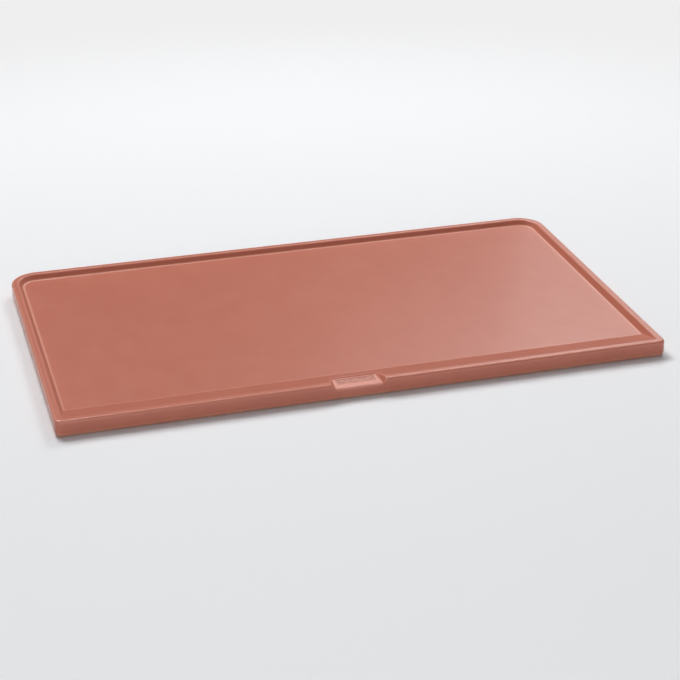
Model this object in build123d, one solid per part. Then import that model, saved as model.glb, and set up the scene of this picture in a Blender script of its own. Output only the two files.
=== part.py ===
from build123d import *
import os
from math import cos, radians, sin, tan

os.makedirs("parts", exist_ok=True)

# Pizza stone for a wide oven: one fired clay slab under a thin glaze, with a
# blank label plaque seated in the front rim. Millimetres, +Z up. The origin is
# the middle of the footprint on the surface that the stone stands on.
# +X is the long side, +Y points to the back, and the label faces -Y.

# Whole stone
stone_length = 640.0
stone_width = 375.0
stone_thickness = 18.0
front_corner_radius = 7.0
back_corner_radius = 30.0
top_edge_radius = 2.6
bottom_edge_radius = 3.2

# Baking recess: a raised rim on three sides and a gentle ramp at the front
recess_depth = 5.6
rim_width = 7.6
recess_wall_run = 5.0
recess_corner_radius = 18.0
front_rim_width = 7.0
front_ramp_run = 26.0
crest_radius = 2.4
floor_fillet_radius = 1.4

# Underside: a foot band round a shallow recess
foot_band_width = 24.0
foot_recess_depth = 1.2
foot_recess_corner_radius = 16.0
foot_recess_edge_radius = 0.5

# Glaze
glaze_thickness = 0.4
glaze_line_height = 3.6

# Label plaque and its seat in the front rim
label_offset = -15.0
label_face_height = 13.3
label_tilt = 1.0
plaque_front_width = 48.8
plaque_back_width = 45.8
plaque_run = 21.2
plaque_thickness = 1.5
plaque_nose_radius = 1.1
plaque_clearance = 0.15
pocket_wall_draft = 44.0
panel_depth = 0.5
panel_width = 41.0
panel_run = 10.6
panel_back_margin = 2.0
panel_corner_radius = 1.2

# Cutting shapes run this far past what they cut
overrun = 10.0

floor_height = stone_thickness - recess_depth
front_edge = -stone_width / 2
back_edge = stone_width / 2


def rounded_outline(length, width, front_radius, back_radius):
    outline = Rectangle(length, width)
    outline = fillet(outline.vertices().sort_by(Axis.Y)[:2], front_radius)
    return fillet(outline.vertices().sort_by(Axis.Y)[-2:], back_radius)


# Everything above the recess: sloping walls at the sides and back, met by the
# floor and the ramp. The skin grows it evenly into the clay.
def recess_space(skin):
    wall_angle = Vector(recess_wall_run, recess_depth).get_angle(Vector(1, 0))
    ramp_angle = Vector(front_ramp_run, recess_depth).get_angle(Vector(1, 0))
    wall_growth = skin * tan(radians(wall_angle / 2))
    ramp_growth = skin * tan(radians(ramp_angle / 2))
    bottom = floor_height - skin
    rise = recess_depth + skin + overrun
    margin = rim_width + recess_wall_run - wall_growth
    plan_back = back_edge - margin
    plan_front = front_edge - overrun
    plan = Rectangle(stone_length - 2 * margin, plan_back - plan_front)
    plan = Pos(0, (plan_back + plan_front) / 2, bottom) * plan
    corner_radius = recess_corner_radius + wall_growth
    plan = fillet(plan.vertices().sort_by(Axis.Y)[-2:], corner_radius)
    walls = extrude(plan, rise, taper=wall_angle - 90)
    ramp_foot = front_edge + front_rim_width + front_ramp_run - ramp_growth
    ramp_top = ramp_foot - rise / tan(radians(ramp_angle))
    side_view = Polyline(
        (ramp_foot, bottom),
        (ramp_top, bottom + rise),
        (back_edge + overrun, bottom + rise),
        (back_edge + overrun, bottom),
        close=True,
    )
    floor_and_ramp = Plane.YZ * make_face(side_view)
    return walls & extrude(floor_and_ramp, stone_length / 2 + overrun, both=True)


# The stone's outer form, less a skin off its sides, top and recess
def recessed_slab(skin):
    outline = rounded_outline(
        stone_length - 2 * skin,
        stone_width - 2 * skin,
        front_corner_radius - skin,
        back_corner_radius - skin,
    )
    slab = extrude(outline, stone_thickness - skin)
    slab = fillet(slab.faces().sort_by(Axis.Z)[-1].edges(), top_edge_radius - skin)
    slab = fillet(slab.faces().sort_by(Axis.Z)[0].edges(), bottom_edge_radius)
    slab = slab - recess_space(skin)
    recess_floor = slab.faces().filter_by(Plane.XY).sort_by(Axis.Z)[-2]
    slab = fillet(recess_floor.edges(), floor_fillet_radius + skin)
    rim_top = slab.faces().filter_by(Plane.XY).sort_by(Axis.Z)[-1]
    return fillet(rim_top.inner_wires()[0].edges(), crest_radius - skin)


def foot_recess():
    outline = rounded_outline(
        stone_length - 2 * foot_band_width,
        stone_width - 2 * foot_band_width,
        foot_recess_corner_radius,
        foot_recess_corner_radius,
    )
    recess = extrude(outline, foot_recess_depth)
    return fillet(recess.faces().sort_by(Axis.Z)[-1].edges(), foot_recess_edge_radius)


# Plane of the plaque's face: local +Y runs up and back along the plaque
label_plane = Plane(
    origin=(label_offset, front_edge, label_face_height),
    x_dir=(1, 0, 0),
    z_dir=(0, -sin(radians(label_tilt)), cos(radians(label_tilt))),
)


# Plaque seen square on, its sides drawn out past the stone's front face
def plaque_plan():
    lean = (plaque_front_width - plaque_back_width) / 2 / plaque_run
    front_half = plaque_front_width / 2 + lean * overrun
    back_half = plaque_back_width / 2
    plan = Polyline(
        (-front_half, -overrun),
        (front_half, -overrun),
        (back_half, plaque_run),
        (-back_half, plaque_run),
        close=True,
    )
    return make_face(plan)


# Straight-sided seat for the plaque, and flared walls from its face upwards
def label_pocket(skin):
    seat_plan = offset(plaque_plan(), plaque_clearance, kind=Kind.INTERSECTION)
    seat = extrude(label_plane * seat_plan, -plaque_thickness)
    wall_growth = skin / cos(radians(pocket_wall_draft))
    flare_growth = plaque_clearance + wall_growth
    flare_plan = offset(plaque_plan(), flare_growth, kind=Kind.INTERSECTION)
    flare = extrude(label_plane * flare_plan, overrun, taper=-pocket_wall_draft)
    return seat + flare


def stone_body():
    clay = recessed_slab(glaze_thickness) - label_pocket(glaze_thickness)
    return clay - foot_recess()


def glaze_coat():
    below_line = Box(
        stone_length + overrun,
        stone_width + overrun,
        glaze_line_height,
        align=(Align.CENTER, Align.CENTER, Align.MIN),
    )
    clay = recessed_slab(glaze_thickness) - label_pocket(glaze_thickness)
    return recessed_slab(0) - label_pocket(0) - clay - below_line


def label_plaque():
    plaque = extrude(label_plane * plaque_plan(), -plaque_thickness)
    in_front = Pos(label_offset, front_edge, label_face_height) * Box(
        stone_length,
        stone_width,
        stone_width,
        align=(Align.CENTER, Align.MAX, Align.CENTER),
    )
    plaque = plaque - in_front
    nose = plaque.faces().sort_by(Axis.Y)[0].edges().sort_by(Axis.Z)[-1]
    plaque = fillet(nose, plaque_nose_radius)
    panel_centre = plaque_run - panel_back_margin - panel_run / 2
    panel = RectangleRounded(panel_width, panel_run, panel_corner_radius)
    panel = extrude(label_plane * Pos(0, panel_centre) * panel, -panel_depth)
    return plaque - panel


export_step(stone_body(), "parts/stone_body.step")
export_step(glaze_coat(), "parts/glaze_coat.step")
export_step(label_plaque(), "parts/label_plaque.step")
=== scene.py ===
import bpy
from math import atan, cos, pi, radians, sin, sqrt, tan
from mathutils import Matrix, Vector


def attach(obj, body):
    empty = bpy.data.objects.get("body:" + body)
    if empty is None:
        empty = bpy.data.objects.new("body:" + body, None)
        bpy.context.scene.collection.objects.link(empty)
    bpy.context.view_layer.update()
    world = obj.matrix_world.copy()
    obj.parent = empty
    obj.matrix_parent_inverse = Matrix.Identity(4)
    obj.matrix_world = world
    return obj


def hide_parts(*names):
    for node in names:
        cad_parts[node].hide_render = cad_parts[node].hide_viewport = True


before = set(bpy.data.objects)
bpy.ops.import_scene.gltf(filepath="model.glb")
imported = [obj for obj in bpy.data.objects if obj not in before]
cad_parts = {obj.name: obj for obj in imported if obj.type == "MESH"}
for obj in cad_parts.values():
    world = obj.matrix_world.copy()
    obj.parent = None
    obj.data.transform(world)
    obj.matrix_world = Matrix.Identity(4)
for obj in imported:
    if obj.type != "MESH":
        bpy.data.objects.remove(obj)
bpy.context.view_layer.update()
scene = bpy.context.scene
print("frame loaded:", ", ".join(sorted(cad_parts)))

# lengths are in millimetres until a mesh is made, z is up from the table
mm = 0.001
touching = 0.001  # two places as close as this count as one

stone = {
    "length": 640.0,
    "width": 375.0,
    "thickness": 18.0,
    "frontCorner": 7.0,
    "backCorner": 30.0,
    "topEdge": 2.6,
    "bottomEdge": 3.2,
    "recessDepth": 5.6,
    "rimWidth": 7.6,
    "wallRun": 5.0,
    "frontRim": 7.0,
    "rampRun": 26.0,
    "crestRadius": 2.4,
    "floorRadius": 1.4,
    "crestCorner": 3.0,  # front corners of the rim's inner edge
    "mitreCorner": 2.2,  # where the side walls meet the ramp
    "footBand": 24.0,
    "footDepth": 1.2,
    "footCorner": 16.0,
    "footEdge": 0.5,
    "glaze": 0.4,
    "glazeLine": 3.6,
    "glazeLineWave": 0.25,
    "sharpAngle": 40.0,  # the surface is shaded smooth up to this turn
}

label = {
    "middle": -15.0,
    "faceHeight": 13.3,
    "tilt": 1.0,
    "frontWidth": 48.8,
    "backWidth": 45.8,
    "run": 21.2,
    "thickness": 1.5,
    "clearance": 0.15,
    "wallDraft": 44.0,
    "softEdge": 0.7,  # blend where the pocket's walls meet the rim
    "lipRadius": 0.8,  # rounding where the pocket opens to the front
    "glazeEdge": 0.06,  # the glaze thins to this round the seat
    "leanPast": 2.0,  # its side lines go on leaning this far behind the seat
}

halfLength = stone["length"] / 2
halfWidth = stone["width"] / 2
tilt = radians(label["tilt"])
draft = radians(label["wallDraft"])
labelSlope = tan(tilt)
labelLean = (label["frontWidth"] - label["backWidth"]) / 2 / label["run"]
seatBack = label["run"] * cos(tilt) + label["clearance"]
seatDrop = label["thickness"] / cos(tilt)
seatSill = label["faceHeight"] - seatDrop


def seatHalfWidth(front):
    leaning = min(front, seatBack + label["leanPast"])
    return label["frontWidth"] / 2 + label["clearance"] - labelLean * leaning


def labelHeight(front):
    return label["faceHeight"] + front * labelSlope


def softMin(a, b, blend):
    near = max(blend - abs(a - b), 0) / blend
    return min(a, b) - near * near * blend / 4


# height of the pocket's flared walls over a point of the front rim
def pocketHeight(x, front, skin):
    beside = abs(x - label["middle"]) - seatHalfWidth(front)
    outside = max(beside, front - seatBack) - skin / cos(draft)
    height = labelHeight(front) + max(outside, 0) / tan(draft)
    if skin == 0:
        height += label["glazeEdge"]
    lip = label["lipRadius"]
    if front - skin < lip:
        height -= lip - sqrt(lip**2 - (lip - front + skin) ** 2)
    return height


# A ring runs once round the stone at one height. side and front are its
# distances in from the edges; the back keeps the same distance as the sides.
def ring(side, front, z, frontCorner, backCorner, kind):
    return {
        "side": side,
        "front": front,
        "z": z,
        "frontCorner": frontCorner,
        "backCorner": backCorner,
        "kind": kind,
    }


def edgeRing(inset, z, kind):
    frontCorner = stone["frontCorner"] - inset
    return ring(inset, inset, z, frontCorner, stone["backCorner"] - inset, kind)


def footRing(inset, z):
    return ring(inset, inset, z, stone["footCorner"], stone["footCorner"], "foot")


# where the rings lie: heights on the straight side, distances in from the edge of
# the floor and of the foot band, shares of the band, distances from the front edge
sideHeights = (5.4, 7.4, 9.6, seatSill, 12.4, 13.0, 13.5)
floorInsets = (2.0, 8.0, 24.0, 60.0, 110.0)
undersideInsets = (100.0, 60.0, 30.0, 8.0)
bandShares = (0.7, 0.35)
rampCuts = [12.4, 13.4, 14.4, 15.4, 16.4, 17.4, 18.4, 19.4, 20.4, 21.0, seatBack]
rampCuts += [seatBack + past for past in (0.3, 0.6, 0.9, 1.2, 1.5, 1.8, 2.1)]
rampCuts += [seatBack + past for past in (2.4, 2.8, 3.3, 4.0, 5.0, 6.5)]

# how many steps each rounding and the flat of the rim take
topEdgeSteps = 9
rimSteps = 7
crestSteps = 6
floorEdgeSteps = 7
footEdgeSteps = 4
bottomEdgeSteps = 7


# from the glaze line up the side, over the rim and down to the recess floor
def upperRings(skin):
    s = stone
    top = s["thickness"] - skin
    floor = top - s["recessDepth"]
    arcStart = s["thickness"] - s["topEdge"]
    edge = s["topEdge"] - skin
    crest = s["crestRadius"] - skin
    fillet = s["floorRadius"] + skin
    wallTurn = atan(s["recessDepth"] / s["wallRun"])
    rampTurn = atan(s["recessDepth"] / s["rampRun"])
    sideCrest = s["rimWidth"] - skin * tan(wallTurn / 2)
    frontCrest = s["frontRim"] - skin * tan(rampTurn / 2)
    sideStart = sideCrest - crest * tan(wallTurn / 2)
    frontStart = frontCrest - crest * tan(rampTurn / 2)
    sideEnd = sideCrest + s["wallRun"] + fillet * tan(wallTurn / 2)
    frontEnd = frontCrest + s["rampRun"] + fillet * tan(rampTurn / 2)

    # distance from the front edge at which the ramp has this height
    def rampAt(z):
        down = top - z
        up = z - floor
        if down < crest * (1 - cos(rampTurn)):
            return frontStart + sqrt(max(crest**2 - (crest - down) ** 2, 0))
        if up < fillet * (1 - cos(rampTurn)):
            return frontEnd - sqrt(max(fillet**2 - (fillet - up) ** 2, 0))
        return frontCrest + down / tan(rampTurn)

    rings = [edgeRing(skin, z, "side") for z in (*sideHeights, arcStart)]
    for step in range(1, topEdgeSteps + 1):
        turn = pi / 2 * step / topEdgeSteps
        inset = skin + edge * (1 - cos(turn))
        rings.append(edgeRing(inset, arcStart + edge * sin(turn), "rim"))
    for step in range(1, rimSteps + 1):
        side = s["topEdge"] + (sideStart - s["topEdge"]) * step / rimSteps
        front = s["topEdge"] + (frontStart - s["topEdge"]) * step / rimSteps
        backCorner = s["backCorner"] - side
        rings.append(ring(side, front, top, s["crestCorner"], backCorner, "rim"))
    for step in range(1, crestSteps + 1):
        turn = wallTurn * step / crestSteps
        z = top - crest * (1 - cos(turn))
        side = sideStart + crest * sin(turn)
        backCorner = s["backCorner"] - side
        rings.append(ring(side, rampAt(z), z, s["crestCorner"], backCorner, "wall"))
    for front in rampCuts:
        z = top - (front - frontCrest) * tan(rampTurn)
        side = sideCrest + (top - z) / tan(wallTurn)
        backCorner = s["backCorner"] - side
        rings.append(ring(side, front, z, s["mitreCorner"], backCorner, "wall"))
    for step in range(floorEdgeSteps + 1):
        turn = wallTurn * (floorEdgeSteps - step) / floorEdgeSteps
        z = floor + fillet * (1 - cos(turn))
        side = sideEnd - fillet * sin(turn)
        backCorner = s["backCorner"] - side
        rings.append(ring(side, rampAt(z), z, s["mitreCorner"], backCorner, "wall"))
    # on the flat floor the rings' front corners grow and their back corners shrink
    for inset in floorInsets:
        corners = (2 + inset / 8, 16 - inset / 9)
        rings.append(ring(sideEnd + inset, frontEnd + inset, floor, *corners, "floor"))
    return rings


# from the middle of the underside out over the foot band to the bare edge
def lowerRings(skin):
    s = stone
    rings = [footRing(s["footBand"] + inset, s["footDepth"]) for inset in undersideInsets]
    for step in range(footEdgeSteps + 1):
        turn = pi / 2 * step / footEdgeSteps
        inset = s["footBand"] + s["footEdge"] * (1 - sin(turn))
        rings.append(footRing(inset, s["footDepth"] - s["footEdge"] * (1 - cos(turn))))
    for step in range(footEdgeSteps + 1):
        turn = pi / 2 * step / footEdgeSteps
        inset = s["footBand"] - s["footEdge"] * (1 - cos(turn))
        rings.append(footRing(inset, s["footEdge"] * (1 - sin(turn))))
    # across the band the corners pass over from the recess's to the edge's
    bandEdge = skin + s["bottomEdge"]
    for share in bandShares:
        inset = bandEdge + (s["footBand"] - bandEdge) * share
        rings.append(ring(inset, inset, 0, 4.1 + 10 * share, 27.1 - 9 * share, "foot"))
    for step in range(bottomEdgeSteps + 1):
        turn = pi / 2 * step / bottomEdgeSteps
        inset = skin + s["bottomEdge"] * (1 - sin(turn))
        rings.append(edgeRing(inset, s["bottomEdge"] * (1 - cos(turn)), "side"))
    rings.append(edgeRing(skin, s["bottomEdge"] + 0.1, "side"))
    return rings


# distances outside the seat's edge at which the front edge is divided
besideCuts = [0.3, 0.6, 0.9, 1.2, 1.5, 1.9, 2.3, 2.7, 3.1, 3.5, 3.9, 4.3, 4.8, 5.4]
besideCuts += [6.4, 8.0, 11.0, 15.0, 20.0]

# how many faces each other stretch of a ring has
seatCuts = 18
frontCuts = 12
sideCuts = 16
backCuts = 24
cornerCuts = 12

# where the seat lies among the points of a ring, and how many make its front
seatLeft = frontCuts + len(besideCuts)
seatRight = seatLeft + seatCuts
frontCount = frontCuts * 2 + len(besideCuts) * 2 + seatCuts + 1


# the points of a ring seen from above, counterclockwise from the front left
def ringPoints(r):
    across = halfLength - r["side"]
    yFront = -halfWidth + r["front"]
    yBack = halfWidth - r["side"]
    small = r["frontCorner"]
    large = r["backCorner"]
    seat = seatHalfWidth(r["front"])
    middle = label["middle"]
    firstX = -across + small
    lastX = across - small
    leftX = middle - seat - besideCuts[-1]
    rightX = middle + seat + besideCuts[-1]
    xs = [firstX + (leftX - firstX) * n / frontCuts for n in range(frontCuts)]
    xs += [middle - seat - cut for cut in reversed(besideCuts)]
    xs += [middle - seat + 2 * seat * n / seatCuts for n in range(seatCuts + 1)]
    xs += [middle + seat + cut for cut in besideCuts]
    xs += [rightX + (lastX - rightX) * n / frontCuts for n in range(1, frontCuts + 1)]
    points = [(x, yFront) for x in xs]

    def corner(cx, cy, radius, start):
        for n in range(1, cornerCuts):
            turn = start + pi / 2 * n / cornerCuts
            points.append((cx + radius * cos(turn), cy + radius * sin(turn)))

    def straight(x0, y0, x1, y1, cuts):
        for n in range(cuts + 1):
            points.append((x0 + (x1 - x0) * n / cuts, y0 + (y1 - y0) * n / cuts))

    corner(across - small, yFront + small, small, -pi / 2)
    straight(across, yFront + small, across, yBack - large, sideCuts)
    corner(across - large, yBack - large, large, 0)
    straight(across - large, yBack, -across + large, yBack, backCuts)
    corner(-across + large, yBack - large, large, pi / 2)
    straight(-across, yBack - large, -across, yFront + small, sideCuts)
    corner(-across + small, yFront + small, small, pi)
    return points


pocketKinds = ("side", "rim", "wall")  # the rings that the pocket can cut


# a ring's points in space, lowered where the pocket cuts into the front rim
def ringVerts(r, skin):
    room = stone["thickness"] - stone["topEdge"] - seatSill
    verts = []
    for n, (x, y) in enumerate(ringPoints(r)):
        z = r["z"]
        if n < frontCount and r["kind"] in pocketKinds and z > seatSill:
            if r["kind"] == "side":
                wallTop = pocketHeight(x, skin, skin)
                topZ = softMin(seatSill + room, wallTop, label["softEdge"])
                z = seatSill + (z - seatSill) / room * (topZ - seatSill)
            else:
                z = softMin(z, pocketHeight(x, r["front"], skin), label["softEdge"])
        verts.append((x, y, z))
    return verts


def isSeatRing(r):
    aboveSill = r["z"] > seatSill - touching
    return r["kind"] in pocketKinds and aboveSill and r["front"] < seatBack + touching


# the lowest and the highest ring on the edge of the seat
def seatSpan(rings):
    marked = [k for k, r in enumerate(rings) if isSeatRing(r)]
    return marked[0], marked[-1]


# faces between neighbouring rings, leaving the seat open above its sill
def ringFaces(rings, count, start, flip):
    faces = []
    for k in range(len(rings) - 1):
        inSeat = isSeatRing(rings[k]) and isSeatRing(rings[k + 1])
        this = start + k * count
        after = this + count
        for n in range(count):
            if inSeat and seatLeft <= n < seatRight:
                continue
            m = (n + 1) % count
            quad = (this + n, this + m, after + m, after + n)
            faces.append(quad[::-1] if flip else quad)
    return faces


def keepUsed(verts, faces):
    used = sorted({n for face in faces for n in face})
    newNumber = {old: new for new, old in enumerate(used)}
    faces = [tuple(newNumber[n] for n in face) for face in faces]
    return [verts[n] for n in used], faces, used


def addPiece(name, mesh, sharpAngle):
    mesh.shade_smooth()
    mesh.set_sharp_from_angle(angle=radians(sharpAngle))
    piece = bpy.data.objects.new(name, mesh)
    scene.collection.objects.link(piece)
    print(name, "built:", len(mesh.vertices), "points,", len(mesh.polygons), "faces")
    return piece


def stonePiece(name, verts, faces, material):
    verts, faces, used = keepUsed(verts, faces)
    mesh = bpy.data.meshes.new(name)
    mesh.from_pydata([(x * mm, y * mm, z * mm) for x, y, z in verts], [], faces)
    mesh.materials.append(material)
    return addPiece(name, mesh, stone["sharpAngle"]), used


# a colour as a screen shows it, each channel up to 255, made linear for the nodes
def colour(*channels):
    shares = [channel / 255 for channel in channels]
    return (*[c / 12.92 if c < 0.04 else ((c + 0.055) / 1.055) ** 2.4 for c in shares], 1.0)


glazeLook = {
    "tone": colour(198, 112, 88),
    "paleTone": colour(202, 116, 92),
    "deepTone": colour(194, 108, 84),
    # paler over crests: thin glaze there and a painted highlight
    "thinGlazeAndHighlightTone": colour(226, 145, 122),
    # painted highlight line along the hollows at the walls' feet
    "hollowHighlightTone": colour(226, 156, 134),
    "speckTone": colour(158, 82, 62),
    "cloudScale": 26.0,
    "grainScale": 420.0,
    "speckScale": 900.0,
    "roughness": 0.34,
    "patchScale": 60.0,  # patches of duller and glossier glaze
    "gloss": 0.5,
    "coat": 0.18,
    "coatRoughness": 0.12,
    "waveScale": 24.0,  # broad unevenness
    "waveBump": 0.012,
    "peelScale": 380.0,  # fine orange peel
    "peelBump": 0.14,
    "bendWindow": 1.8,  # a bend is taken over this length
    "bendGain": 2.0,
}


# how sharply each point of a line turns towards or away from the surface,
# taken over a stretch of it as long as the window, so a short kink counts little
def lineBends(points, normals, window):
    steps = [b - a for a, b in zip(points, points[1:])]
    along = [0.0]
    for step in steps:
        along.append(along[-1] + step.length)
    turns = [0.0] * len(points)
    for n in range(1, len(points) - 1):
        before, after = steps[n - 1], steps[n]
        if min(before.length, after.length) > touching:
            turns[n] = -(after.normalized() - before.normalized()).dot(normals[n])
    bends = []
    first = last = 0
    for n in range(len(points)):
        while along[first] < along[n] - window / 2:
            first += 1
        while last < len(points) and along[last] <= along[n] + window / 2:
            last += 1
        bends.append(sum(turns[first:last]) / window)
    return bends


# stores how the glaze's surface bends: 0.5 flat, 1 a crest, 0 a hollow
def markBends(mesh, verts, used, rings, count):
    newNumber = {old: new for new, old in enumerate(used)}
    marks = [0.5] * len(mesh.vertices)
    lines = [[k * count + n for k in range(rings)] for n in range(count)]
    lines += [[k * count + n for n in range(frontCount)] for k in range(rings)]
    for line in lines:
        line = [n for n in line if n in newNumber]
        points = [Vector(verts[n]) for n in line]
        normals = [mesh.vertices[newNumber[n]].normal for n in line]
        bends = lineBends(points, normals, glazeLook["bendWindow"])
        for n, bend in zip(line, bends):
            mark = min(max(0.5 + bend * glazeLook["bendGain"], 0), 1)
            if abs(mark - 0.5) > abs(marks[newNumber[n]] - 0.5):
                marks[newNumber[n]] = mark
    attribute = mesh.attributes.new("bend", "FLOAT", "POINT")
    attribute.data.foreach_set("value", marks)


# the glaze ends in a slightly uneven line above the bare foot, three waves added
# up: size, radians per millimetre along x and along y, and where it starts
glazeWaves = ((1.0, 0.021, 0.013, 0.0), (0.6, 0.057, -0.049, 1.3), (0.4, 0.13, 0.11, 0.4))

# the lower lip of the glaze: how far in, and how far above the glaze line
outerLip = ((0.2, 0.0), (0.05, 0.15), (0.0, 0.4))
innerLip = ((stone["glaze"], 0.0), (stone["glaze"], 0.2), (stone["glaze"], 0.4))


def glazeWave(x, y):
    wave = sum(size * sin(x * u + y * v + start) for size, u, v, start in glazeWaves)
    return stone["glazeLineWave"] * wave / 2


def buildGlaze(material):
    skin = stone["glaze"]
    line = stone["glazeLine"]
    outer = [edgeRing(inset, line + up, "line") for inset, up in outerLip] + upperRings(0)
    inner = [edgeRing(inset, line + up, "line") for inset, up in innerLip] + upperRings(skin)
    verts = []
    for rings, depth in ((outer, 0), (inner, skin)):
        for r in rings:
            points = ringVerts(r, depth)
            if r["kind"] == "line":
                points = [(x, y, z + glazeWave(x, y)) for x, y, z in points]
            verts += points
    count = len(ringPoints(outer[0]))
    below = len(outer) * count
    faces = ringFaces(outer, count, 0, False) + ringFaces(inner, count, below, True)
    for n in range(count):
        m = (n + 1) % count
        faces.append((m, n, below + n, below + m))
    lastOuter = (len(outer) - 1) * count
    lastInner = below + (len(inner) - 1) * count
    faces.append(tuple(lastOuter + n for n in range(count)))
    faces.append(tuple(lastInner + n for n in reversed(range(count))))
    # the edge of the skin round the seat
    sill, back = seatSpan(outer)
    rim = [(sill, n) for n in range(seatLeft, seatRight)]
    rim += [(k, seatRight) for k in range(sill, back)]
    rim += [(back, n) for n in range(seatRight, seatLeft, -1)]
    rim += [(k, seatLeft) for k in range(back, sill, -1)]
    for (k, n), (nextK, nextN) in zip(rim, rim[1:] + rim[:1]):
        a, b = k * count + n, nextK * count + nextN
        faces.append((a, b, below + b, below + a))
    piece, used = stonePiece("glazeCoat", verts, faces, material)
    markBends(piece.data, verts, used, len(outer), count)
    return piece


# the seat's floor and its three walls
def addSeat(rings, count, verts, faces):
    sill, back = seatSpan(rings)
    firstRow = max(k for k in range(sill, back) if rings[k]["kind"] == "side") + 1
    floorStart = len(verts)
    for k in range(firstRow, back + 1):
        z = labelHeight(rings[k]["front"]) - seatDrop
        verts += [(x, y, z) for x, y in ringPoints(rings[k])[seatLeft : seatRight + 1]]

    def onFloor(k, n):
        return floorStart + (k - firstRow) * (seatCuts + 1) + n - seatLeft

    def onRing(k, n):
        return k * count + n

    for n in range(seatLeft, seatRight):
        m = n + 1
        faces.append((onRing(sill, n), onRing(sill, m), onFloor(firstRow, m), onFloor(firstRow, n)))
        for k in range(firstRow, back):
            faces.append((onFloor(k, n), onFloor(k, m), onFloor(k + 1, m), onFloor(k + 1, n)))
        faces.append((onFloor(back, n), onFloor(back, m), onRing(back, m), onRing(back, n)))
    for n, flip in ((seatLeft, False), (seatRight, True)):
        upFront = [onRing(k, n) for k in range(firstRow, sill - 1, -1)]
        walls = [(onFloor(firstRow, n), *upFront)]
        for k in range(firstRow, back):
            walls.append((onFloor(k + 1, n), onRing(k + 1, n), onRing(k, n), onFloor(k, n)))
        faces += [wall[::-1] if flip else wall for wall in walls]


def buildClay(material):
    skin = stone["glaze"]
    rings = lowerRings(skin) + upperRings(skin)
    count = len(ringPoints(rings[0]))
    verts = []
    for r in rings:
        verts += ringVerts(r, skin)
    faces = ringFaces(rings, count, 0, False)
    last = (len(rings) - 1) * count
    faces.append(tuple(reversed(range(count))))
    faces.append(tuple(last + n for n in range(count)))
    addSeat(rings, count, verts, faces)
    return stonePiece("claySlab", verts, faces, material)[0]


# a small helper that adds a node, sets its inputs by name and returns it
def addNode(tree, kind, inputs=None, **settings):
    node = tree.nodes.new(kind)
    for key, value in settings.items():
        setattr(node, key, value)
    for key, value in (inputs or {}).items():
        socket = node.inputs[key]
        if isinstance(value, bpy.types.NodeSocket):
            tree.links.new(value, socket)
        else:
            socket.default_value = value
    return node


def blankMaterial(name):
    material = bpy.data.materials.new(name)
    material.use_nodes = True
    tree = material.node_tree
    tree.nodes.clear()
    output = tree.nodes.new("ShaderNodeOutputMaterial")
    shader = tree.nodes.new("ShaderNodeBsdfPrincipled")
    tree.links.new(shader.outputs[0], output.inputs["Surface"])
    place = tree.nodes.new("ShaderNodeTexCoord").outputs["Object"]
    return material, tree, shader, place


def noise(tree, place, scale, detail, roughness=0.5):
    inputs = {"Vector": place, "Scale": scale, "Detail": detail, "Roughness": roughness}
    return addNode(tree, "ShaderNodeTexNoise", inputs).outputs["Fac"]


# distance to the nearest of many scattered points
def cells(tree, place, scale, randomness=1.0):
    inputs = {"Vector": place, "Scale": scale, "Randomness": randomness}
    return addNode(tree, "ShaderNodeTexVoronoi", inputs).outputs["Distance"]


def stored(tree, name):
    return addNode(tree, "ShaderNodeAttribute", attribute_name=name).outputs["Fac"]


def maths(tree, operation, *values):
    inputs = dict(enumerate(values))
    return addNode(tree, "ShaderNodeMath", inputs, operation=operation).outputs[0]


# each stop of a ramp is a value and the level that it gets
def ramp(tree, value, *stops):
    node = addNode(tree, "ShaderNodeValToRGB", {"Fac": value})
    for element, (position, level) in zip(node.color_ramp.elements, stops):
        element.position = position
        element.color = (level, level, level, 1)
    return node.outputs["Color"]


def mixColour(tree, factor, a, b):
    return addNode(tree, "ShaderNodeMix", {0: factor, 6: a, 7: b}, data_type="RGBA").outputs[2]


# lays a tone over a ground, as much of it as the ramp over the pattern says
def tint(tree, ground, tone, pattern, *stops):
    return mixColour(tree, ramp(tree, pattern, *stops), ground, tone)


# spreads the middle part of a noise over a range of roughness
def roughnessFrom(tree, value, low, high):
    inputs = {"Value": value, "From Min": 0.3, "From Max": 0.7, "To Min": low, "To Max": high}
    return addNode(tree, "ShaderNodeMapRange", inputs).outputs[0]


def smoothRange(tree, value, low, high):
    inputs = {"Value": value, "From Min": low, "From Max": high}
    settings = {"interpolation_type": "SMOOTHSTEP"}
    return addNode(tree, "ShaderNodeMapRange", inputs, **settings).outputs[0]


# bumps of this height in metres, on top of another bump where one is given
def bump(tree, pattern, strength, height, under=None):
    inputs = {"Strength": strength, "Distance": height, "Height": pattern}
    if under is not None:
        inputs["Normal"] = under
    return addNode(tree, "ShaderNodeBump", inputs).outputs[0]


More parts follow.
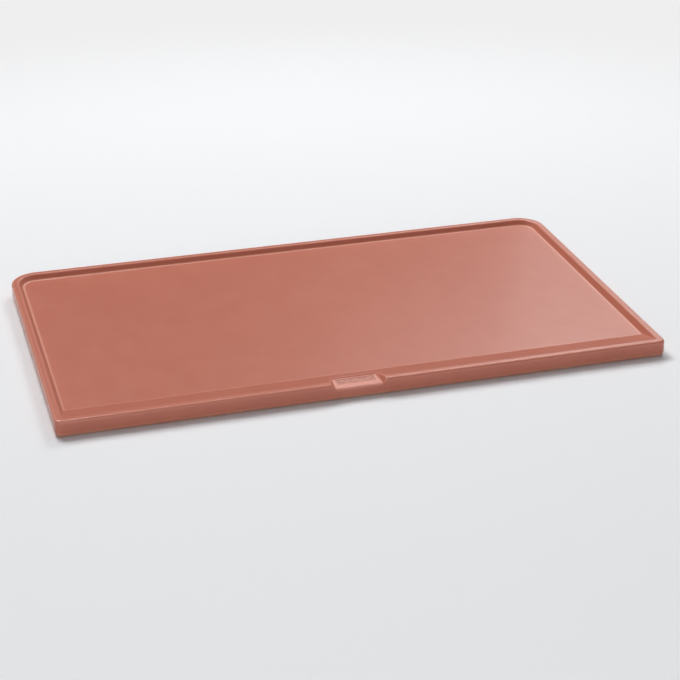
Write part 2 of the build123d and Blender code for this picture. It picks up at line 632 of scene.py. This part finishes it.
def glazeMaterial():
    look = glazeLook
    material, tree, shader, place = blankMaterial("satinGlaze")
    clouds = noise(tree, place, look["cloudScale"], 4.0)
    grain = noise(tree, place, look["grainScale"], 2.0)
    specks = noise(tree, place, look["speckScale"], 1.0)
    bend = stored(tree, "bend")
    body = tint(tree, look["deepTone"], look["paleTone"], clouds, (0.38, 0.0), (0.64, 1.0))
    body = mixColour(tree, 0.6, body, look["tone"])
    body = tint(tree, body, look["paleTone"], grain, (0.35, 0.0), (0.7, 0.22))
    # the glaze is painted lighter over crests, partly as glaze that runs thin there and partly as
    # painted highlight, and lighter in the hollows at the walls' feet as a painted highlight line
    body = tint(tree, body, look["thinGlazeAndHighlightTone"], bend, (0.5, 0.0), (1.0, 0.6))
    # painted highlight: the hollows at the walls' feet are painted lighter
    body = tint(tree, body, look["hollowHighlightTone"], bend, (0.0, 1.0), (0.5, 0.0))
    body = tint(tree, body, look["speckTone"], specks, (0.70, 0.0), (0.76, 0.7))
    tree.links.new(body, shader.inputs["Base Color"])
    patches = noise(tree, place, look["patchScale"], 4.0)
    rough = roughnessFrom(tree, patches, look["roughness"] - 0.02, look["roughness"] + 0.03)
    tree.links.new(rough, shader.inputs["Roughness"])
    shader.inputs["Specular IOR Level"].default_value = look["gloss"]
    shader.inputs["Coat Weight"].default_value = look["coat"]
    shader.inputs["Coat Roughness"].default_value = look["coatRoughness"]
    waves = bump(tree, noise(tree, place, look["waveScale"], 2.0), look["waveBump"], 0.001)
    fine = noise(tree, place, look["peelScale"], 3.0)
    peel = bump(tree, fine, look["peelBump"], 0.0004, under=waves)
    tree.links.new(peel, shader.inputs["Normal"])
    tree.links.new(waves, shader.inputs["Coat Normal"])
    return material


clayLook = {
    "tone": colour(206, 142, 116),
    "sandyTone": colour(218, 164, 138),
    # dark grit, and painted shade in the pores
    "darkGritAndPitShadeTone": colour(168, 108, 86),
    "roughness": 0.88,
    "cloudScale": 18.0,
    "gritScale": 700.0,
    "gritBump": 0.6,
    "poreScale": 380.0,
    "poreBump": 0.5,
}


def clayMaterial():
    look = clayLook
    material, tree, shader, place = blankMaterial("firedClay")
    clouds = noise(tree, place, look["cloudScale"], 5.0)
    grit = noise(tree, place, look["gritScale"], 3.0, 0.7)
    pores = cells(tree, place, look["poreScale"])
    body = tint(tree, look["tone"], look["sandyTone"], clouds, (0.3, 0.0), (0.7, 0.6))
    body = tint(tree, body, look["darkGritAndPitShadeTone"], grit, (0.42, 0.5), (0.6, 0.0))
    # painted shade: the pores are painted darker
    body = tint(tree, body, look["darkGritAndPitShadeTone"], pores, (0.04, 0.8), (0.14, 0.0))
    tree.links.new(body, shader.inputs["Base Color"])
    shader.inputs["Roughness"].default_value = look["roughness"]
    rough = bump(tree, grit, look["gritBump"], 0.0004)
    pits = ramp(tree, pores, (0.03, 0.0), (0.16, 1.0))
    pitted = bump(tree, pits, look["poreBump"], 0.0005, under=rough)
    tree.links.new(pitted, shader.inputs["Normal"])
    return material


plaqueLook = {
    "tone": colour(232, 155, 136),
    "paleTone": colour(243, 173, 155),
    "shadeTone": colour(206, 130, 111),
    "panelTone": colour(212, 140, 122),
    "pitTone": colour(134, 76, 60),
    "roughness": 0.55,
    "cloudScale": 160.0,
    "gritScale": 1300.0,
    "gritBump": 0.35,
    "stippleScale": 430.0,
    "stippleBump": 0.7,
}


# fine pale clay, with a coarse stippled ground in the sunk panel that is painted darker, darkest in
# its pits, as painted shade that also stands in for the lettering left out
def plaqueMaterial():
    look = plaqueLook
    material, tree, shader, place = blankMaterial("plaqueClay")
    clouds = noise(tree, place, look["cloudScale"], 4.0)
    grit = noise(tree, place, look["gritScale"], 3.0, 0.6)
    stipple = cells(tree, place, look["stippleScale"], 0.9)
    panel = stored(tree, "panel")
    body = tint(tree, look["tone"], look["paleTone"], clouds, (0.35, 0.0), (0.7, 0.7))
    body = tint(tree, body, look["shadeTone"], grit, (0.4, 0.4), (0.58, 0.0))
    # painted shade: the sunk panel's ground and its stipple pits are darker, also standing in for
    # the left-out lettering
    ground = tint(tree, look["panelTone"], look["pitTone"], stipple, (0.1, 0.85), (0.5, 0.0))
    body = mixColour(tree, panel, body, ground)
    tree.links.new(body, shader.inputs["Base Color"])
    rough = roughnessFrom(tree, grit, look["roughness"] - 0.06, look["roughness"] + 0.12)
    tree.links.new(rough, shader.inputs["Roughness"])
    grain = bump(tree, grit, look["gritBump"], 0.0003)
    pits = ramp(tree, stipple, (0.05, 0.0), (0.5, 1.0))
    inPanel = maths(tree, "MULTIPLY", panel, look["stippleBump"])
    pitted = bump(tree, pits, inPanel, 0.0005, under=grain)
    tree.links.new(pitted, shader.inputs["Normal"])
    return material


plaque = {
    "Front Width": label["frontWidth"],
    "Back Width": label["backWidth"],
    "Run": label["run"] * cos(tilt),
    "Thickness": seatDrop,
    "Edge Radius": 0.4,
    "Nose Radius": 1.1,
    "Panel Width": 41.0,
    "Panel Run": 10.6,
    "Panel Front": 8.6,
    "Panel Depth": 0.5,
    "Panel Corner": 1.2,
    "Panel Slope": 0.35,
}
plaqueGrid = {"Vertices X": 220, "Vertices Y": 96, "Vertices Z": 2}
plaqueSharpAngle = 50.0


# The plaque follows a rule: a box whose top is shaped by the distance to its
# edges and to the outline of its plain sunk panel.
def plaqueTree(material):
    tree = bpy.data.node_groups.new("labelPlaque", "GeometryNodeTree")
    for name in plaque:
        tree.interface.new_socket(name, in_out="INPUT", socket_type="NodeSocketFloat")
    tree.interface.new_socket("Geometry", in_out="OUTPUT", socket_type="NodeSocketGeometry")
    given = tree.nodes.new("NodeGroupInput").outputs

    def plus(a, b):
        return maths(tree, "ADD", a, b)

    def minus(a, b):
        return maths(tree, "SUBTRACT", a, b)

    def times(a, b):
        return maths(tree, "MULTIPLY", a, b)

    def larger(a, b):
        return maths(tree, "MAXIMUM", a, b)

    def absolute(a):
        return maths(tree, "ABSOLUTE", a)

    def root(a):
        return maths(tree, "SQRT", a)

    # how far a rounded edge of this radius drops at this distance from it
    def edgeDrop(distance, radius):
        short = larger(minus(radius, distance), 0.0)
        return minus(radius, root(minus(times(radius, radius), times(short, short))))

    # the box's points crowd towards its edges, where the roundings are
    block = addNode(tree, "GeometryNodeMeshCube", {"Size": (1, 1, 1), **plaqueGrid})
    position = tree.nodes.new("GeometryNodeInputPosition").outputs[0]
    spot = addNode(tree, "ShaderNodeSeparateXYZ", {"Vector": position})
    across = maths(tree, "SINE", times(spot.outputs["X"], pi))
    along = plus(times(maths(tree, "SINE", times(spot.outputs["Y"], pi)), 0.5), 0.5)
    front = times(along, given["Run"])
    lean = minus(given["Back Width"], given["Front Width"])
    half = times(plus(given["Front Width"], times(along, lean)), 0.5)
    x = times(across, half)
    beside = minus(half, absolute(x))
    behind = minus(given["Run"], front)
    drop = plus(edgeDrop(beside, given["Edge Radius"]), edgeDrop(behind, given["Edge Radius"]))
    drop = plus(drop, edgeDrop(front, given["Nose Radius"]))

    # distance outside the rounded outline of the panel
    middle = plus(given["Panel Front"], times(given["Panel Run"], 0.5))
    straightHalf = minus(times(given["Panel Width"], 0.5), given["Panel Corner"])
    straightRun = minus(times(given["Panel Run"], 0.5), given["Panel Corner"])
    dx = minus(absolute(x), straightHalf)
    dy = minus(absolute(minus(front, middle)), straightRun)
    outX = larger(dx, 0.0)
    outY = larger(dy, 0.0)
    reach = root(plus(times(outX, outX), times(outY, outY)))
    inside = maths(tree, "MINIMUM", larger(dx, dy), 0.0)
    outline = minus(plus(reach, inside), given["Panel Corner"])
    slope = times(given["Panel Slope"], -1.0)
    fromTo = {"Value": outline, "From Min": slope, "From Max": 0.0, "To Min": 1.0, "To Max": 0.0}
    sunk = addNode(tree, "ShaderNodeMapRange", fromTo, interpolation_type="SMOOTHSTEP").outputs[0]
    drop = plus(drop, times(sunk, given["Panel Depth"]))

    isTop = maths(tree, "GREATER_THAN", spot.outputs["Z"], 0.0)
    mark = {"Geometry": block.outputs["Mesh"], "Name": "panel", "Value": times(sunk, isTop)}
    kind = {"data_type": "FLOAT", "domain": "POINT"}
    marked = addNode(tree, "GeometryNodeStoreNamedAttribute", mark, **kind)
    base = plus(label["faceHeight"], times(front, labelSlope))
    topZ = minus(base, drop)
    lowZ = minus(base, given["Thickness"])
    z = plus(lowZ, times(isTop, minus(topZ, lowZ)))
    corner = {"X": plus(x, label["middle"]), "Y": minus(front, halfWidth), "Z": z}
    place = addNode(tree, "ShaderNodeCombineXYZ", corner).outputs[0]
    metres = addNode(tree, "ShaderNodeVectorMath", {0: place, "Scale": mm}, operation="SCALE")
    moved = {"Geometry": marked.outputs[0], "Position": metres.outputs[0]}
    shaped = addNode(tree, "GeometryNodeSetPosition", moved)
    solid = addNode(tree, "GeometryNodeRealizeInstances", {"Geometry": shaped.outputs[0]})
    dressed = {"Geometry": solid.outputs[0], "Material": material}
    finished = addNode(tree, "GeometryNodeSetMaterial", dressed)
    result = tree.nodes.new("NodeGroupOutput")
    tree.links.new(finished.outputs[0], result.inputs[0])
    return tree


def buildPlaque(material):
    maker = bpy.data.meshes.new("labelPlaqueMaker")
    holder = bpy.data.objects.new("labelPlaqueMaker", maker)
    scene.collection.objects.link(holder)
    modifier = holder.modifiers.new("labelPlaque", "NODES")
    modifier.node_group = plaqueTree(material)
    for item in modifier.node_group.interface.items_tree:
        if item.in_out == "INPUT":
            modifier[item.identifier] = plaque[item.name]
    evaluated = holder.evaluated_get(bpy.context.evaluated_depsgraph_get())
    mesh = bpy.data.meshes.new_from_object(evaluated)
    mesh.name = "labelPlaque"
    holder.modifiers.remove(modifier)
    bpy.data.objects.remove(holder)
    return addPiece("labelPlaque", mesh, plaqueSharpAngle)


glazeCoat = buildGlaze(glazeMaterial())
claySlab = buildClay(clayMaterial())
labelPlaque = buildPlaque(plaqueMaterial())

for piece, node, finish in (
    (glazeCoat, "glaze_coat", "glaze"),
    (claySlab, "stone_body", "fired_clay"),
    (labelPlaque, "label_plaque", "plaque_clay"),
):
    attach(piece, "root")
    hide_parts(node)
print("pieces placed on the frame")

studio = {
    "floorSize": 14.0,
    "floorShade": (0.905, 0.909, 0.917, 1),
    "floorRoughness": 0.75,
    "floorGloss": 0.2,
    "fadeStart": 0.6,  # metres from the middle of the stone
    "fadeEnd": 1.3,
    "backgroundShade": (0.86, 0.86, 0.865, 1),
    "ceilingShade": (0.078, 0.088, 0.1, 1),
    "wallTop": -0.04,  # as the sine of the angle above the level
    "ceiling": 0.03,
}

# degrees clockwise from +Y, degrees up, distance, width, height, watts
lamps = {
    "key": (-20.0, 56.0, 5.0, 2.3, 2.3, 168.0),
    "rightTop": (75.0, 62.0, 3.0, 1.2, 1.2, 8.0),
    "front": (-165.0, 22.0, 2.6, 1.3, 1.0, 14.0),
    "spark": (30.0, 41.0, 3.2, 1.1, 0.5, 20.0),
    "sheen": (36.0, 26.0, 3.5, 1.2, 1.0, 5.5),
}


# 1 for the rays that show the backdrop: those from the camera, and mirrored ones
def showsBackdrop(tree):
    rays = tree.nodes.new("ShaderNodeLightPath").outputs
    mirrored = maths(tree, "MAXIMUM", rays["Is Glossy Ray"], rays["Is Transmission Ray"])
    return maths(tree, "MAXIMUM", rays["Is Camera Ray"], mirrored)


# near the stone the table takes its light and shadow, further out it runs
# evenly into the backdrop
def tableMaterial():
    s = studio
    material, tree, shader, place = blankMaterial("paleTable")
    shader.inputs["Base Color"].default_value = s["floorShade"]
    shader.inputs["Roughness"].default_value = s["floorRoughness"]
    shader.inputs["Specular IOR Level"].default_value = s["floorGloss"]
    away = addNode(tree, "ShaderNodeVectorMath", {0: place}, operation="LENGTH").outputs["Value"]
    fade = smoothRange(tree, away, s["fadeStart"], s["fadeEnd"])
    share = maths(tree, "MULTIPLY", fade, showsBackdrop(tree))
    backdrop = {"Color": s["backgroundShade"], "Strength": 1.0}
    glow = addNode(tree, "ShaderNodeEmission", backdrop).outputs[0]
    mixed = addNode(tree, "ShaderNodeMixShader", {0: share, 1: shader.outputs[0], 2: glow})
    output = next(node for node in tree.nodes if node.type == "OUTPUT_MATERIAL")
    tree.links.new(mixed.outputs[0], output.inputs["Surface"])
    return material


def buildTable():
    size = studio["floorSize"] / 2
    corners = [(-size, -size, 0), (size, -size, 0), (size, size, 0), (-size, size, 0)]
    mesh = bpy.data.meshes.new("tableTop")
    mesh.from_pydata(corners, [], [(0, 1, 2, 3)])
    floor = bpy.data.objects.new("tableTop", mesh)
    scene.collection.objects.link(floor)
    mesh.materials.append(tableMaterial())


# a low pale wall stands far behind the table, under a dim ceiling
def buildRoom():
    world = bpy.data.worlds.new("studio")
    scene.world = world
    world.use_nodes = True
    tree = world.node_tree
    tree.nodes.clear()
    sight = tree.nodes.new("ShaderNodeTexCoord").outputs["Object"]
    direction = addNode(tree, "ShaderNodeSeparateXYZ", {0: sight}).outputs["Z"]
    height = smoothRange(tree, direction, studio["wallTop"], studio["ceiling"])
    shade = mixColour(tree, height, studio["backgroundShade"], studio["ceilingShade"])
    room = addNode(tree, "ShaderNodeBackground", {"Color": shade, "Strength": 1.0})
    result = tree.nodes.new("ShaderNodeOutputWorld")
    tree.links.new(room.outputs[0], result.inputs["Surface"])


def addLamp(name, azimuth, elevation, distance, width, height, watts):
    lamp = bpy.data.lights.new(name, "AREA")
    lamp.shape = "RECTANGLE"
    lamp.size = width
    lamp.size_y = height
    lamp.energy = watts
    holder = bpy.data.objects.new(name, lamp)
    scene.collection.objects.link(holder)
    turn, lift = radians(azimuth), radians(elevation)
    direction = Vector((sin(turn) * cos(lift), cos(turn) * cos(lift), sin(lift)))
    holder.location = direction * distance
    holder.rotation_euler = direction.to_track_quat("Z", "Y").to_euler()


buildTable()
buildRoom()
for lampName, setting in lamps.items():
    addLamp(lampName, *setting)
print("table, room and", len(lamps), "lamps in place")

# metres and degrees, and the focal length in pixels of the square picture
view = {
    "place": (-0.4780, -1.7408, 0.8313),
    "heading": 15.912,
    "drop": 25.324,
    "roll": -0.311,
    "focal": 1813.5,
    "picture": 680,
    "sensor": 36.0,
}


def placeCamera():
    camera = bpy.data.objects.new("camera", bpy.data.cameras.new("camera"))
    scene.collection.objects.link(camera)
    camera.data.sensor_width = view["sensor"]
    camera.data.lens = view["sensor"] * view["focal"] / view["picture"]
    camera.data.clip_start = 0.05
    camera.data.clip_end = 60.0
    camera.location = view["place"]
    camera.rotation_euler = (radians(90 - view["drop"]), 0, radians(-view["heading"]))
    camera.rotation_euler.rotate_axis("Z", radians(view["roll"]))
    scene.camera = camera


placeCamera()
scene.view_settings.view_transform = "Standard"
print("camera placed")
